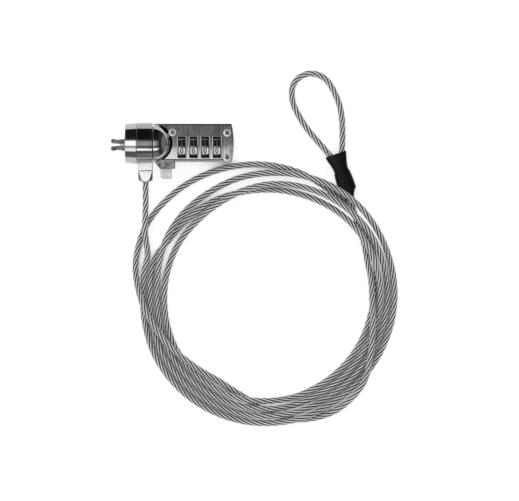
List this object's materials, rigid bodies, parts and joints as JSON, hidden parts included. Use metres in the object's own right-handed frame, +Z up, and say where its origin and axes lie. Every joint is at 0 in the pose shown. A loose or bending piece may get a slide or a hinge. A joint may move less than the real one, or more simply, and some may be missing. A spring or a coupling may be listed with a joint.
{
  "type": "laptop cable lock",
  "caption": "Dial combination lock with clamping jaws for a computer's security slot, on a swivel ring with a coiled twisted steel cable and crimped loop.",
  "frame": {"origin": "centre of the nose collar's front face, which seats on the computer's case, on the barrel's axis", "axes": "+X from the nose along the barrel to the dial case's end, +Y to the case's rear edge, +Z up through the dials; the part lies on z = -10.85 mm"},
  "size_m": [0.1521, 0.189, 0.0218],
  "materials": {
    "bright_chrome": "polished chrome plate over zinc casting",
    "satin_chrome": "satin chrome plate with fine scratches",
    "dial_chrome": "polished chrome with dark grey numerals",
    "jaw_steel": "hardened steel, nickel plated",
    "hard_steel": "ground hardened steel",
    "spring_steel": "spring steel",
    "brass": "turned brass",
    "steel_cable": "twisted steel wire under a clear coat",
    "ferrule_aluminium": "crimped aluminium",
    "black_sleeve": "black shrunk sleeve, half gloss"
  },
  "bodies": {
    "cable_anchor": {"swivel_ring": "bright_chrome", "cable_socket": "bright_chrome", "cable_lead": "steel_cable", "cable_coil": "steel_cable", "cable_eye": "steel_cable", "crimp_ferrule": "ferrule_aluminium", "loop_sleeve": "black_sleeve"},
    "lock_body": {"lock_housing": "bright_chrome", "cover_plate": "satin_chrome", "cover_screws": "bright_chrome", "nose_collar": "bright_chrome", "jaw_pins": "hard_steel", "plunger_spring": "spring_steel", "detent_spring": "spring_steel"},
    "button": {"release_button": "satin_chrome"},
    "plunger": {"jaw_spreader": "hard_steel", "cam_block": "brass", "code_spindle": "brass"},
    "jaw_a": {"upper_jaw": "jaw_steel"},
    "jaw_b": {"lower_jaw": "jaw_steel"},
    "dial_set_1": {"dial_1": "dial_chrome", "code_sleeve_1": "brass"},
    "dial_set_2": {"dial_2": "dial_chrome", "code_sleeve_2": "brass"},
    "dial_set_3": {"dial_3": "dial_chrome", "code_sleeve_3": "brass"},
    "dial_set_4": {"dial_4": "dial_chrome", "code_sleeve_4": "brass"}
  },
  "joints": [
    {"name": "lock_swivel", "type": "hinge", "parent": "cable_anchor", "child": "lock_body", "pos_m": [0.0104, 0, 0], "axis": [1, 0, 0], "continuous": true},
    {"name": "button_press", "type": "slide", "parent": "lock_body", "child": "button", "axis": [0, 1, 0], "range_m": [0, 0.003], "stiffness_N_per_m": 900, "springref_m": -0.002},
    {"name": "plunger_slide", "type": "slide", "parent": "lock_body", "child": "plunger", "axis": [1, 0, 0], "range_m": [0, 0.003], "deforming": ["plunger_spring"]},
    {"name": "upper_jaw_close", "type": "hinge", "parent": "lock_body", "child": "jaw_a", "pos_m": [0.0026, 0.00095, 0], "axis": [0, 0, 1], "range_deg": [0, 4.4]},
    {"name": "lower_jaw_close", "type": "hinge", "parent": "lock_body", "child": "jaw_b", "pos_m": [0.0026, -0.00255, 0], "axis": [0, 0, 1], "range_deg": [-4.4, 0]},
    {"name": "dial_1_turn", "type": "hinge", "parent": "lock_body", "child": "dial_set_1", "pos_m": [0.0299, -0.0021, 0], "axis": [1, 0, 0], "continuous": true},
    {"name": "dial_2_turn", "type": "hinge", "parent": "lock_body", "child": "dial_set_2", "pos_m": [0.03607, -0.0021, 0], "axis": [1, 0, 0], "continuous": true},
    {"name": "dial_3_turn", "type": "hinge", "parent": "lock_body", "child": "dial_set_3", "pos_m": [0.04224, -0.0021, 0], "axis": [1, 0, 0], "continuous": true},
    {"name": "dial_4_turn", "type": "hinge", "parent": "lock_body", "child": "dial_set_4", "pos_m": [0.04841, -0.0021, 0], "axis": [1, 0, 0], "continuous": true}
  ],
  "couplings": [
    {"joint": "plunger_slide", "follows": "button_press", "ratio": 1},
    {"joint": "upper_jaw_close", "follows": "button_press", "rad_per_m": 25.5},
    {"joint": "lower_jaw_close", "follows": "button_press", "rad_per_m": -25.5}
  ]
}
